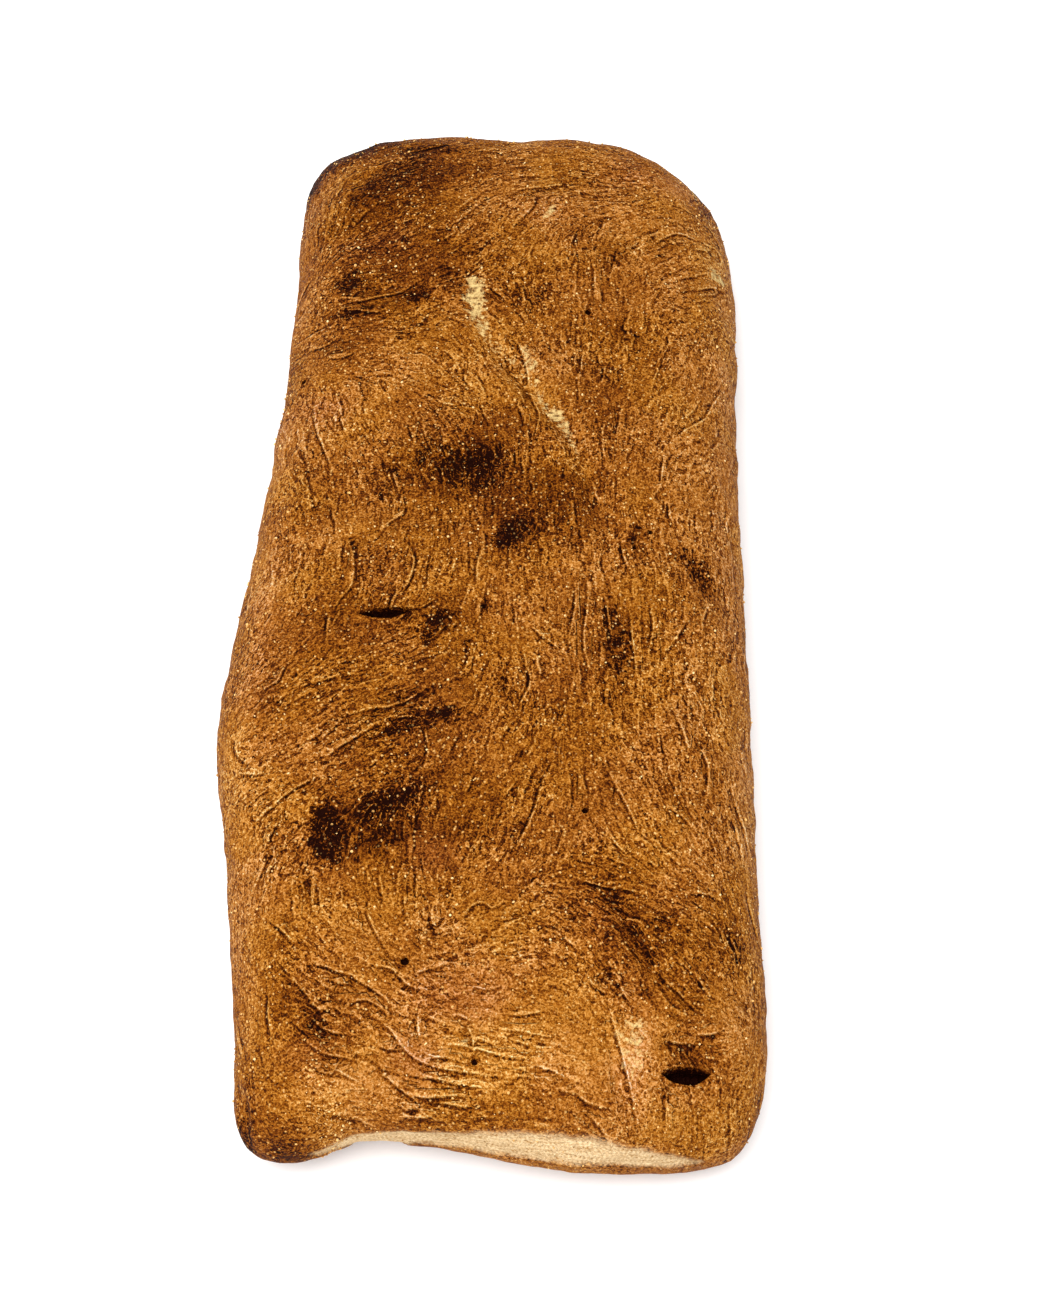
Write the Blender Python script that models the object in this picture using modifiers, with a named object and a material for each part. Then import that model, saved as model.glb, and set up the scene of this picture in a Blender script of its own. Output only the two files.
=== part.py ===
"""Ciabatta loaf: a long, flat, rectangular hearth loaf, baked in one piece and lying on its flat base.

The loaf is a pillow. A box is cut into a coarse cage, the cage is moved to the loaf's plan, crown
and base, and a Subdivision Surface rounds it. Units are metres, +Z is up and +Y runs along the
loaf, from its near end to its far end. The origin is the middle of the loaf's box at table height.
"""

import bmesh
import bpy
from mathutils import Matrix, Vector

# Driving dimensions: the loaf's own box.
LENGTH = 0.300
WIDTH = 0.132
HEIGHT = 0.041

# The cage: faces across, along and up the loaf, and how often the surface is subdivided.
COLUMNS = 6
ROWS = 12
LAYERS = 3
SMOOTHING = 2

# Plan of the sides: (share of the length from the near end, reach as a share of half the width).
LEFT_SIDE = (
    (0.0, -0.87), (0.10, -0.885), (0.24, -0.94), (0.36, -1.05),
    (0.50, -0.94), (0.75, -0.825), (0.9, -0.81), (1.0, -0.80),
)
RIGHT_SIDE = (
    (0.0, 0.94), (0.10, 1.03), (0.28, 0.99), (0.45, 1.0),
    (0.60, 1.0), (0.78, 1.01), (0.92, 1.03), (1.0, 0.94),
)

# Plan of the ends: (place across, -1 at the left to 1 at the right, reach as a share of half the length).
NEAR_END = (
    (-1.0, -0.97), (-0.67, -0.965), (-0.33, -0.94),
    (0.0, -0.965), (0.5, -1.0), (1.0, -0.97),
)
FAR_END = (
    (-1.0, 0.955), (-0.45, 1.0), (0.0, 0.975),
    (0.33, 0.985), (0.67, 0.97), (1.0, 0.89),
)

# Crown along the middle: (share of the length from the near end, share of the height).
CROWN = ((0.0, 0.80), (0.12, 0.92), (0.35, 1.0), (0.6, 0.97), (0.85, 0.92), (1.0, 0.78))
CROWN_FALL = 0.16  # how much lower the crown is at the sides, as a share of the height

# How the side wall is built up: (share of the crown's height, inset from the widest line in metres).
WALL = ((0.0, 0.007), (0.30, 0.0), (0.68, 0.0005), (1.0, 0.008))

# Broad lumps and hollows of the crown: (x, y, radius, rise), in metres.
SWELLS = (
    (-0.034, -0.030, 0.036, 0.0030),
    (0.040, -0.108, 0.026, 0.0030),
    (-0.046, -0.132, 0.020, 0.0015),
    (-0.030, 0.112, 0.030, 0.0020),
    (0.004, 0.072, 0.024, -0.0025),
    (0.042, 0.050, 0.034, 0.0018),
    (0.006, -0.090, 0.030, -0.0018),
)

# Where the base's rim stands clear of the table: (x, y, radius, lift), in metres.
LIFTS = (
    (-0.022, -0.146, 0.016, 0.0060),
    (0.062, 0.030, 0.040, 0.0012),
    (-0.056, 0.090, 0.045, 0.0015),
    (0.010, 0.146, 0.040, 0.0014),
)

CRUST_COLOUR = (0.36, 0.15, 0.035, 1.0)
CRUST_ROUGHNESS = 0.62
EDGE_TOLERANCE = 1e-6


def remove_everything():
    """Empties the scene and leaves no unused mesh or material behind."""
    for thing in list(bpy.data.objects):
        bpy.data.objects.remove(thing, do_unlink=True)
    bpy.ops.outliner.orphans_purge(do_recursive=True)


def along_curve(points, at):
    """The value at a place on a curve given by (place, value) points, joined by straight runs."""
    for (start, low), (end, high) in zip(points, points[1:]):
        if at <= end:
            return low + (high - low) * (at - start) / (end - start)
    return points[-1][1]


def heaped(bumps, x, y):
    """The summed height of smooth round bumps at a point of the plan."""
    total = 0.0
    for centre_x, centre_y, radius, rise in bumps:
        apart = ((x - centre_x) ** 2 + (y - centre_y) ** 2) / radius**2
        total += rise * max(0.0, 1.0 - apart / 4.0) ** 3
    return total


def plan_point(across, along):
    """A point of the loaf's plan, blended from its four sides. Across and along run from -1 to 1."""
    share = (along + 1.0) / 2.0
    left = along_curve(LEFT_SIDE, share) * WIDTH / 2.0
    right = along_curve(RIGHT_SIDE, share) * WIDTH / 2.0
    near = along_curve(NEAR_END, across) * LENGTH / 2.0
    far = along_curve(FAR_END, across) * LENGTH / 2.0
    return left + (right - left) * (across + 1.0) / 2.0, near + (far - near) * share


def crown_height(across, along, x, y):
    """Height of the top crust above the table."""
    crown = along_curve(CROWN, (along + 1.0) / 2.0) - CROWN_FALL * abs(across) ** 2.5
    return crown * HEIGHT + heaped(SWELLS, x, y)


def cage_point(across, along, up):
    """Where a corner of the cage goes. Across and along run from -1 to 1, and up is a layer's number."""
    x, y = plan_point(across, along)
    wall_share, inset = WALL[up]
    if abs(across) > 1.0 - EDGE_TOLERANCE:
        x -= inset if across > 0 else -inset
    if abs(along) > 1.0 - EDGE_TOLERANCE:
        y -= inset if along > 0 else -inset
    rim = max(abs(across), abs(along)) > 1.0 - EDGE_TOLERANCE
    base = heaped(LIFTS, x, y) if rim else 0.0
    top = crown_height(across, along, x, y)
    return Vector((x, y, base + (top - base) * wall_share))


def cut_box(mesh, cuts):
    """Cuts a box into a grid, with the given number of cuts across its X, Y and Z edges."""
    box = bmesh.new()
    box.from_mesh(mesh)
    for axis, count in enumerate(cuts):
        edges = []
        for edge in box.edges:
            run = edge.verts[0].co - edge.verts[1].co
            if abs(run[axis]) > EDGE_TOLERANCE:
                edges.append(edge)
        bmesh.ops.subdivide_edges(box, edges=edges, cuts=count, use_grid_fill=True)
    box.to_mesh(mesh)
    box.free()


def fit_to_box(loaf):
    """Moves and scales the cage so that the rounded loaf fills its box exactly and stands on z = 0."""
    graph = bpy.context.evaluated_depsgraph_get()
    rounded = loaf.evaluated_get(graph).to_mesh()
    corners = [vertex.co.copy() for vertex in rounded.vertices]
    loaf.evaluated_get(graph).to_mesh_clear()
    low = Vector([min(corner[axis] for corner in corners) for axis in range(3)])
    high = Vector([max(corner[axis] for corner in corners) for axis in range(3)])
    foot = Vector(((low.x + high.x) / 2.0, (low.y + high.y) / 2.0, low.z))
    size = high - low
    scale = Matrix.Diagonal((WIDTH / size.x, LENGTH / size.y, HEIGHT / size.z, 1.0))
    loaf.data.transform(scale @ Matrix.Translation(-foot))


def crust_material():
    """Browned bread crust."""
    crust = bpy.data.materials.new("baked_crust")
    crust.use_nodes = True
    shader = crust.node_tree.nodes["Principled BSDF"]
    shader.inputs["Base Color"].default_value = CRUST_COLOUR
    shader.inputs["Roughness"].default_value = CRUST_ROUGHNESS
    shader.inputs["Metallic"].default_value = 0.0
    return crust


def make_loaf(collection):
    """The whole loaf, one closed pillow with a flat base."""
    bpy.ops.mesh.primitive_cube_add(size=2.0, location=(0.0, 0.0, 0.0))
    loaf = bpy.context.object
    loaf.name = "ciabatta_loaf"
    loaf.data.name = "ciabatta_loaf"
    cut_box(loaf.data, (COLUMNS - 1, ROWS - 1, LAYERS - 1))
    for vertex in loaf.data.vertices:
        up = round((vertex.co.z + 1.0) / 2.0 * LAYERS)
        vertex.co = cage_point(vertex.co.x, vertex.co.y, up)
    rounding = loaf.modifiers.new("rounding", "SUBSURF")
    rounding.levels = SMOOTHING
    rounding.render_levels = SMOOTHING
    fit_to_box(loaf)
    loaf.data.shade_smooth()
    loaf.data.materials.append(crust_material())
    for owner in list(loaf.users_collection):
        owner.objects.unlink(loaf)
    collection.objects.link(loaf)
    return loaf


def main():
    """Builds the loaf in a collection of its own."""
    remove_everything()
    collection = bpy.data.collections.new("ciabatta")
    bpy.context.scene.collection.children.link(collection)
    make_loaf(collection)


main()
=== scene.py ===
"""Ciabatta loaf: the looks of its crust.

The loaf's one solid is remade as a fine skin. It is swollen, folded, torn and pricked by moving its
points, and dusted with semolina grains. What a maker would change is in the property groups below,
and the panel in the 3D view's sidebar runs each step by hand. Lists of places are in millimetres on
the loaf, seen from above: x to its right, y towards its far end. A path gives them by turns, and a
spot has a turn in degrees before its last number if it is turned. Everything else is in metres.
"""

import math
from types import SimpleNamespace

import bpy
import numpy as np
from bpy.props import FloatProperty, FloatVectorProperty, IntProperty, PointerProperty
from mathutils import Matrix, Vector, noise


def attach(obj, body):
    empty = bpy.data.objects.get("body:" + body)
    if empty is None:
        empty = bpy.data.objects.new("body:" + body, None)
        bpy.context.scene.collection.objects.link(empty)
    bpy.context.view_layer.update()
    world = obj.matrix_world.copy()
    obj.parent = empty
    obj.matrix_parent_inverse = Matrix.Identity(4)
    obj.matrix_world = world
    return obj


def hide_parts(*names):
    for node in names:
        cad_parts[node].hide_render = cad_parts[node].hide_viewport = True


bl_info = {
    "name": "Ciabatta loaf",
    "version": (1, 0, 0),
    "blender": (4, 5, 0),
    "location": "3D View > Sidebar > Loaf",
    "description": "Makes a toasted ciabatta crust with semolina grains, and a plain studio for it",
    "category": "Object",
}

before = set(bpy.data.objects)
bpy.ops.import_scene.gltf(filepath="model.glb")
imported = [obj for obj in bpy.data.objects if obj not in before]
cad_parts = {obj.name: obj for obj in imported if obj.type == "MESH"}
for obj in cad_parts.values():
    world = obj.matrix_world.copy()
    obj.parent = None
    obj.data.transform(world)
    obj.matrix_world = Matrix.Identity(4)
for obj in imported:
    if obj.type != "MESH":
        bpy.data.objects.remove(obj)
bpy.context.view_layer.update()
LOAF = "ciabatta_loaf"
MM = 0.001
PERCENT = 100
SEED = 4127
BASE_TOP = 0.6  # the flat base lies below this height
SIDE_RISE = (4.0, 11.0)  # the heights between which the side takes on the skin's marks
TOP_RISE = (12.0, 20.0)  # the heights between which the top begins

# Wrinkles of the skin that stand out one by one: a thin ridge with a groove along it.
WRINKLES = (
    (-26, -130, -23, -133, -20, -135.5, -16, -138, -12, -139), (-14, -137.5, -10, -138, -6, -137.6),
    (-14, -139.5, -10, -139, -5, -140, 0, -139.6), (-18, -140.5, -16, -139.8, -13, -140),
    (-8, -135, -4, -136, 1, -137), (-20, -142, -17, -141.3, -13, -141.4, -9, -140.4),
    (4, -124, 8, -124.6, 12, -125.6, 16, -126.2), (-14.5, -129, -11, -130, -7, -130.6, -3, -132),
    (23, -112.7, 25, -115, 27.5, -116.6), (26.5, -107, 28.4, -111.4, 31, -116, 33, -119.6),
    (-42, -108, -36, -109, -34.4, -110, -28, -112, -24, -115), (-35, -112, -32, -113.2, -28.6, -113.2),
    (5.5, 60, 8, 53.4, 11, 46, 12.3, 41.4, 11.5, 36, 10.5, 33), (23.8, 65, 23.4, 61, 22.8, 55),
    (27, -116, 29, -124, 31, -132, 33, -140, 34.5, -146), (40.7, -135, 40.3, -139, 40, -145),
    (39.3, -126, 43, -126.8, 48, -126.4), (47, -124.6, 51, -124.2, 54, -122.6),
    # the near end
    (-29, -107, -25, -109, -21, -110, -17, -114, -12, -115),
    (-35, -109, -31, -111, -26, -114, -22, -117, -20, -120),
    (-28, -118, -21, -124, -18, -128, -14, -131, -7, -133, 8, -135),
    (-31, -120, -30, -118, -27, -117, -23, -119, -21, -122),
    (-46, -110, -42, -113, -39, -117, -35, -122, -31, -122), (-50, -96, -46, -100, -43, -104),
    (-26, -92, -27, -95, -26, -99, -22, -106), (-16, -84, -16, -90, -16, -95),
    (-5, -98, -3, -95, -1, -94, 2, -96), (-17, -113, -15, -111, -12, -110, -6, -108),
    (-19, -136, -14, -138, -8, -138, -2, -138), (-18, -133, -15, -134, -9, -135, 2, -138),
    (-49, -113, -49, -119, -48, -125), (-39, -121, -35, -124, -30, -125),
    (-40, -126, -36, -129, -31, -130, -27, -131), (-40, -86, -40, -92, -39, -97),
    (-5, -122, -3, -125, -2, -131), (3, -120, 8, -121, 14, -120), (-15, -119, -15, -124, -14, -127),
    (-10, -127, -3, -128, 4, -130, 10, -131), (-3, -114, 1, -115, 4, -114),
    (-41, -116, -37, -119, -33, -119), (19, -137, 23, -140, 28, -141),
    # the left side
    (-56, -39, -50, -36, -49, -33, -46, -30), (-46, -39, -42, -38, -37, -37, -30, -36),
    (-35, -48, -29, -46, -23, -45, -18, -43, -14, -40), (-39, -59, -34, -55, -29, -52, -24, -49),
    (-59, -58, -55, -60, -50, -60), (-57, -75, -53, -71, -49, -68, -45, -65, -41, -63, -36, -62),
    (-38, -19, -36, -15, -33, -10, -33, -2, -35, 5), (-22, -16, -19, -10, -18, -3, -21, 4),
    (-28, 3, -25, 8, -21, 12, -22, 19), (-39, -18, -39, -23, -39, -28), (-20, -18, -16, -18, -12, -15),
    (-15, -50, -14, -56, -15, -61), (-23, -49, -20, -48, -16, -48), (-41, -55, -36, -50, -32, -46),
    (-60, -49, -59, -54, -55, -58), (-46, 51, -45, 42, -42, 32, -39, 24), (-26, 29, -24, 22, -22, 14),
    (-52, -81, -50, -76, -47, -71), (-55, -90, -52, -84, -49, -79),
    # the middle and the right side
    (-2, 1, -3, -5, -3, -11), (8, -27, 9, -33, 10, -38, 8, -43, 6, -47), (10, -22, 14, -26, 18, -29),
    (21, -7, 21, -15, 19, -27), (32, 7, 33, -1, 36, -8), (16, -58, 13, -64, 11, -71, 8, -78, 5, -84),
    (44, -43, 46, -48, 48, -55), (49, -49, 52, -58, 51, -68), (40, -69, 45, -71, 49, -75),
    (43, -28, 47, -21, 49, -17), (57, -60, 60, -68, 62, -76), (28, -11, 29, -18, 30, -25),
    (39, -12, 40, -20, 38, -30), (19, -88, 27, -90, 32, -91, 35, -92), (46, -91, 51, -91, 55, -92),
    (26, -106, 29, -111, 31, -116, 33, -119), (40, -135, 40, -141, 41, -143), (61, -83, 62, -92, 64, -99),
    (40, -112, 44, -116, 48, -120), (44, 31, 43, 24, 43, 21), (29, 40, 28, 34, 29, 27),
    (24, -2, 24, -14, 23, -26, 25, -37), (34, -13, 35, -25, 36, -39), (27, -58, 32, -68, 36, -78),
    # the far end
    (-21, 39, -20, 36, -19, 34), (-40, 79, -35, 78, -30, 77, -26, 79),
    (-41, 82, -35, 81, -30, 82, -24, 84, -17, 88), (-53, 88, -50, 93, -48, 95),
    (-51, 70, -44, 68, -39, 70), (-43, 63, -38, 62, -34, 64), (-15, 48, -10, 45, -5, 46),
    (-25, 135, -17, 137, -11, 139), (-1, 72, 6, 67, 9, 58, 10, 50, 14, 43),
    (4, 119, 9, 120, 13, 121, 19, 122, 23, 120), (5, 104, 7, 107, 11, 113, 12, 118),
    (43, 101, 47, 105, 51, 107, 56, 106, 58, 104), (54, 87, 59, 91, 64, 93), (23, 63, 23, 56, 21, 53),
    (61, 59, 58, 52, 55, 45, 50, 40, 46, 35), (27, 93, 27, 87, 27, 81),
)

# Broad furrows: (path, half width, depth, height of the lip on the left, height of the lip on the right).
FURROWS = (
    ((-7, 91, -5, 84, -3, 77, 2, 65, 10, 52, 16, 43, 22, 32, 28, 16, 29, -3), 3.2, 1.5, 0.3, 0.9),
    ((24, -86, 29, -92, 33, -100, 37, -108, 42, -113, 48, -119), 2.6, 1.4, 0.5, 0.2),
    ((28, -125, 29, -131, 30, -137, 33, -142, 37, -146), 1.6, 1.1, 0.1, 0.7),
    ((-57, -131, -54, -136, -53, -141, -53, -147), 1.2, 1, 0.3, 0.3),
    ((-57, -75, -49, -68, -41, -63, -33, -60), 1.8, 0.5, 0.5, 0),
    ((-35, -48, -23, -45, -14, -40), 1.6, 0.5, 0.4, 0),
    ((30, 6, 33, -10, 33, -30, 36, -46), 3, 0.5, 0.2, 0.3),
)

# Swells and hollows: (x, y, half length, half width, rise).
SWELLS = (
    (35, -129, 9, 6, 70, 1.5), (46, -128, 7, 4, -1.3), (46, -139, 8, 4, 0.6), (-43, -142, 10, 9, 1),
    (-30, -143, 6, 7, -0.8), (-37, -76, 5, 6, 80, -0.7), (-24, -75, 8, 5, 0.5), (-5, 26, 9, 8, -0.6),
    (-30, 108, 12, 8, 30, -0.9), (-42, 118, 9, 8, 0.9), (2, 112, 12, 10, 0.7), (47, 112, 10, 8, 0.6),
    (46, -118, 12, 7, -50, 0.7), (-30, 60, 14, 10, 0.7), (-56, -60, 6, 16, 0.7), (-12, -60, 8, 6, -0.5),
    (12, -60, 12, 18, 0.6), (52, -4, 8, 4, -60, -0.6), (31, -24, 10, 3, 95, -0.6),
    (-25, -24, 10, 5, -0.5), (-14, -138, 14, 5, -10, 0.5), (-25, 84, 9, 6, 10, -0.6), (60, 96, 6, 5, 0.4),
)

# Torn slits: (x, y, half length, half width, turn in degrees, depth).
SLITS = ((-24.8, -18.7, 6.5, 1.35, 3, 3.8), (45.0, -133.0, 5.6, 1.8, 5, 5.0))

# Pricks where a bubble burst: (x, y, radius).
PRICKS = (
    (25.3, 76.5, 0.85), (23, -71, 0.7), (36, 2, 0.5), (-49, 59, 0.6), (-32, 48, 0.5),
    (-18, -108, 0.9), (-2, -131, 0.7), (-1, -17, 0.5), (40, 7, 0.6),
)

# Charred spots: (x, y, half length, half width, strength in per cent).
CHARS = (
    (-37, -75.6, 5.6, 3.1, 95, 260), (-36.6, -82, 3.2, 3, 50), (-27.5, -71, 3.6, 2.8, 60, 85),
    (-20.5, -68.2, 5.4, 2.6, 20, 125), (-16.5, -73, 2, 3, 50), (-23, -76.5, 9, 5.5, 42),
    (-29, -82, 8, 4, 10, 22), (-4.5, 26, 8.2, 7, 60), (-9.5, 25.5, 3.2, 5, -30, 75),
    (-1.5, 28, 4.4, 4.2, 95), (-2, 20, 3, 2.6, 75), (-17, 29, 1.7, 4.6, -20, 80),
    (6.6, 6.2, 4, 3.2, 40, 135), (4, 2, 2.4, 2.6, 110), (6, 16, 8, 6, 18), (-14, -47, 8, 4, 10, 30),
    (-10, -47, 3.8, 2.6, 20, 85), (-21, -51, 6, 2.4, 20, 75), (-22, -41, 8, 2, 15, 35),
    (-12.5, -23, 6, 4, 40, 50), (-14.5, -26.5, 1.8, 2.4, 70), (-11, -21, 3, 2, 20, 45),
    (-22, -20, 8, 3.5, 30), (31, -25, 12, 3.2, 97, 72), (52, -3, 7.5, 3.4, -58, 75),
    (-38, 88, 3.2, 3.6, 80), (-30, 84, 13, 9, 26), (-12, 90, 4, 4, 35), (-36.5, 77.3, 5.5, 1.7, 5, 80),
    (-19.5, 82, 3.4, 2.2, 95), (36, 6, 4.2, 1.8, 75, 72), (35, -103, 12, 0.7, -62, 75),
    (35, -103, 10, 5, -58, 22), (28, -92, 6, 2, -30, 45), (57, -102, 5, 2.6, 100, 62),
    (48, -112, 5, 3, -50, 28), (45, -127.6, 6.5, 0.9, 3, 38), (50, -125.4, 4, 1.6, 20, 32),
    (-38, -123, 5.5, 4.2, 48), (-34, 2, 3, 2, 60, 50), (-26, 18, 3.4, 2, 60, 48), (8, -58, 3, 3, 40),
    (-0.8, -16, 0.9, 3, 100), (41, -98.5, 2.6, 2.2, 60), (9.8, -36, 7, 0.9, 95, 45),
    (7.6, -45, 3, 0.8, 65, 45), (-24, 24, 3, 1.6, 70, 40), (-20, -64, 8, 4, 10, 25),
    (12, 82, 6, 4.5, 30, 34), (-53, -143, 2.6, 7, 62), (-44, -147.5, 7, 2.6, 5, 45),
    (-27, 126, 14, 5, 38, 66), (-36, 117.5, 6, 3, 60, 20), (-20.6, 137, 6, 1.5, 10, 50),
    (-38, 108, 9, 4, 25, 15), (-8, 84, 6, 4, 30), (20, -46, 4, 6, 20), (-16, -42, 6, 1.4, 25, 55),
    (9, -75, 4, 3, 28), (-12, -110, 2, 1.2, 34), (-35, -38, 6, 3, 10, 25), (-30, 68, 5, 3, 22),
    (-24, 47, 2, 1.4, 40), (-12, 136, 10, 2, -5, 30), (18, 22, 6, 5, 28), (3.5, -39, 2, 3.2, 42),
    (12.3, -17.5, 2.4, 2.4, 36), (-4.9, -28.5, 1.5, 2.8, 45), (-12.9, 103.6, 2.4, 1.1, 55),
    (-22.6, 68.7, 2.4, 1.8, 50), (-6.2, 82, 1, 0.9, 60), (27, 124, 2.2, 2.8, 36),
    (34.5, 70, 7, 4, -20, 36), (45.5, 97.4, 1.6, 1.1, 45), (33, 96, 5, 4.4, 36), (4, 66, 1.4, 3, 40, 20),
)

# Darker stretches of the bake, below zero, and lighter ones: (x, y, half length, half width, per cent). Some
# of the lighter ones are painted highlights, along the left and right rims, at the near end and on the swell
# beside the near slit, and the far left corner is made darker.
BROWNINGS_AND_PAINTED_LIGHT = (
    (-24, 122, 18, 11, 25, -20), (-34, 98, 14, 10, 60, -14), (-20, 88, 16, 12, -13),
    (-6, 24, 18, 12, -15), (12, 10, 15, 12, 10, -16), (29, 44, 7, 14, -10), (-28, -20, 15, 9, -12),
    (-18, -50, 15, 11, 20, -14), (-25, -74, 16, 11, -15), (33, -100, 17, 9, -55, -15),
    (50, -112, 14, 6, 60, -9), (24, 80, 14, 12, -5), (-38, 72, 9, 9, -9), (28, -22, 6, 18, -8),
    (-40, -36, 8, 8, -7), (14, -46, 14, 10, -9), (40, 66, 12, 14, -4), (-40, -120, 9, 8, -7),
    (-36, 16, 10, 8, -4), (46, -132, 9, 7, -5), (-48, -146, 10, 7, -12), (-57, -72, 26, 5, 88, 5),
    (6, 82, 8, 5, -8), (-50, 138, 12, 7, 30, -17), (-32, 52, 16, 9, 5), (0, -130, 34, 9, 6),
    (-28, -136, 12, 7, 10), (35, -128, 9, 5, 75, 16), (62, 55, 5, 50, 8), (58, 126, 12, 8, 120, 4),
    (54, -120, 6, 10, 8), (-3, 82, 5, 12, 6), (4, 62, 12, 10, 3), (-24, -98, 20, 9, 5),
    (62, -60, 4, 40, 4), (48, 98, 16, 12, 4), (44, -84, 12, 8, 5), (0, -146, 44, 3, 5),
    (4, -72, 14, 10, -6), (26, -64, 12, 10, -3), (28, 12, 8, 12, -3), (-14, 104, 8, 8, -5),
    (-34, 143, 15, 6, -24), (-52, 133, 4, 8, -10), (-16, 128, 16, 6, -6), (-44, 124, 4, 8, 8),
    (49, 40, 8, 28, 11), (38, 112, 12, 6, 7), (60, 96, 5, 10, 10), (38, 80, 10, 5, 6), (-20, 72, 6, 4, 2),
    (52, -118, 10, 14, 6), (46, -142, 15, 7, 8), (-54, -92, 5, 18, 9), (-53, -118, 4, 10, 9),
    (61, -70, 4, 36, 6), (-54, 34, 5, 12, 8), (-56, 4, 5, 12, 8), (-38, 6, 8, 5, 7), (-26, -4, 10, 6, -8),
    (36, 0, 3, 5, -8), (10, -22, 8, 7, 6), (-52, -44, 5, 20, -5), (-5, -75, 7, 7, -7),
    (20, -88, 20, 6, -5), (-3, -136, 5, 3, 10), (18, -131, 14, 6, 6), (-42, -138, 8, 6, 7),
    (14, 136, 18, 7, 5), (45.5, -129.5, 6.5, 3, -8), (33, -130, 10, 3, 80, 4), (-36, 146, 12, 5, -12),
    (-53, 132, 6, 5, -10), (-4, 97, 6, 4, -8), (0, 36, 16, 5, -7), (-12, 54, 5, 5, -7),
    (-16, -64, 8, 3, 10, -10), (-28, -104, 5, 9, 9), (0, -96, 8, 4, 7), (23, -100, 9, 7, -7),
    (48, -80, 8, 5, 7), (-1, -123, 6, 6, 8), (-27, -4, 6, 6, -5), (24, -6, 6, 6, 7), (-30, 9, 8, 4, 7),
    (-36, -129, 5, 4, -6), (-44, 137, 11, 5, -10), (-4, 128, 5, 5, -7), (-38, 119, 6, 5, 5),
    (-36, 104, 5, 4, 7), (2, 66, 11, 4, -58, 5), (16, 46, 12, 4, -58, 5), (-20, 72, 4, 4, -5),
    (46, -128.5, 7, 3, -6), (-20, 32, 5, 4, -7), (-12, 32, 4, 3, -5), (-20, -72, 5, 4, -3),
    (59, 124, 4, 9, -18), (-51, 131, 3, 6, -8), (48, -112, 6, 4, 3), (58, -124, 4, 8, 5),
    (-20, -144.5, 8, 2, -6), (-50, -144, 6, 4, 6), (12, -112, 30, 4, 2.5), (-44, 80, 4, 5, 5),
    (-45, 72, 8, 3, 3), (-28, 0, 5, 4, -5), (36, 0, 4, 4, -4), (-12, 113, 4, 4, 5), (12, 120, 4, 4, 5),
    (12, 96, 4, 4, 7), (-50, 84, 4, 9, 5), (-12, 73, 3, 3, 7), (-20, 72, 3, 3, -6), (52, 62, 4, 5, 6),
    (-53, 38, 4, 12, 6), (12, 33, 4, 4, -5), (-4, 16, 4, 3, -5), (47, 20, 8, 5, 5), (4, 0, 4, 4, -5),
    (-4, -9, 4, 4, 7), (52, -32, 8, 5, 6), (-60, -52, 4, 18, 9), (-54, -14, 4, 14, 6), (4, -80, 5, 4, -7),
    (20, -81, 4, 4, 6), (-50, -88, 5, 4, 6), (36, -96, 4, 4, 5), (-20, -120, 5, 4, 6),
    (55, -114, 5, 8, 5), (-4, -128, 5, 3, 4), (-16, -145, 7, 2.6, -10), (29, -145, 6, 3, 8),
    (60, -2, 3, 10, 5), (28, 80, 4, 4, 5), (0, -126, 40, 14, 2), (-28, 100, 10, 5, -3), (6, 80, 6, 5, -3),
    (-52, -136, 4, 6, -6), (-44, -146, 8, 4, -7), (-36, -144.5, 4, 2.5, 5), (54, -120, 4, 5, -4),
)

# Painted rosy sheen, a pale and rosy tint where light glances off the crust: (x, y, half length, half width,
# strength).
PAINTED_SHEEN_SPOTS = (
    (-30, 102, 10, 6, 20, 0.5), (40, 129, 14, 6, -15, 0.5), (27, -98, 10, 6, -50, 0.5),
    (33, -116, 10, 6, -60, 0.45), (-13, -82, 7, 5, 0.5), (34, -131, 8, 3.6, 75, 0.45),
    (-55, -30, 5, 40, 0.25), (-44, 47, 10, 6, 0.4), (-6, -116, 16, 7, 0.4), (-16, -130, 8, 4, -20, 0.4),
    (60, 20, 4, 60, 0.12), (-51, 110, 5, 30, 0.2), (52, 127, 10, 6, -40, 0.4), (-38, -128, 6, 4, 0.3),
    (14, 112, 8, 5, 0.2),
)

# Spots of pale dough, and painted highlights along the right rim of the far end and on the swell beside the
# near slit: (x, y, half length, half width, strength).
PALE_DOUGH_AND_HIGHLIGHT_SPOTS = (
    (15.5, 111.5, 4.5, 1.4, 65, 0.6), (60.4, 95.8, 2.6, 1.8, -30, 1.3), (56, 130, 7, 1.4, -45, 0.45),
    (13, 120, 6, 1, 8, 0.25), (-4, -126, 1, 0.9, 0.8), (-29, -137, 5, 1.6, 0.3),
    (33.6, -129, 8, 3.4, 82, 0.52), (31.4, -124, 5, 2, 40, 0.3), (58, 121, 4, 1, -60, 0.3),
)

# The stretched, paler dough of the long crease: (x, y, half width, strength) along it.
CREASE = (
    ((-4.5, 86, 2.8, 0.9), (-4.5, 83, 3, 1), (-4.4, 78, 2.8, 0.9), (-2.6, 73, 2.2, 0.65),
     (0, 67, 1.8, 0.5), (3, 63, 1.8, 0.45), (5.5, 60.5, 1.2, 0.35)),
    ((8.8, 66, 1.4, 0.35), (9.8, 61, 2.2, 0.6), (11, 55, 1.8, 0.5), (12, 50, 1.3, 0.35),
     (14.4, 45, 1.6, 0.6), (17, 42, 2, 0.95), (19, 38, 1.4, 0.6), (21.3, 32, 1.1, 0.35), (24, 27, 0.9, 0.2)),
)

# The pale seam of unbrowned dough on the near end: (x, its lower edge, its upper edge) above the table.
SEAM = (
    (-39, 15.0, 15.5), (-34, 12.0, 17.2), (-29, 6.0, 18.8), (-20, 6.0, 20.2), (-16, 15.0, 20.6),
    (-5, 15.5, 22.0), (4, 16.5, 24.0), (14, 17.2, 25.4), (22, 17.6, 25.4), (30, 17.0, 24.0),
    (37, 16.2, 22.0), (44, 15.6, 19.2), (49, 16.0, 16.6),
)
SEAM_RIM_Y = -136  # the seam lies nearer than this

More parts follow.
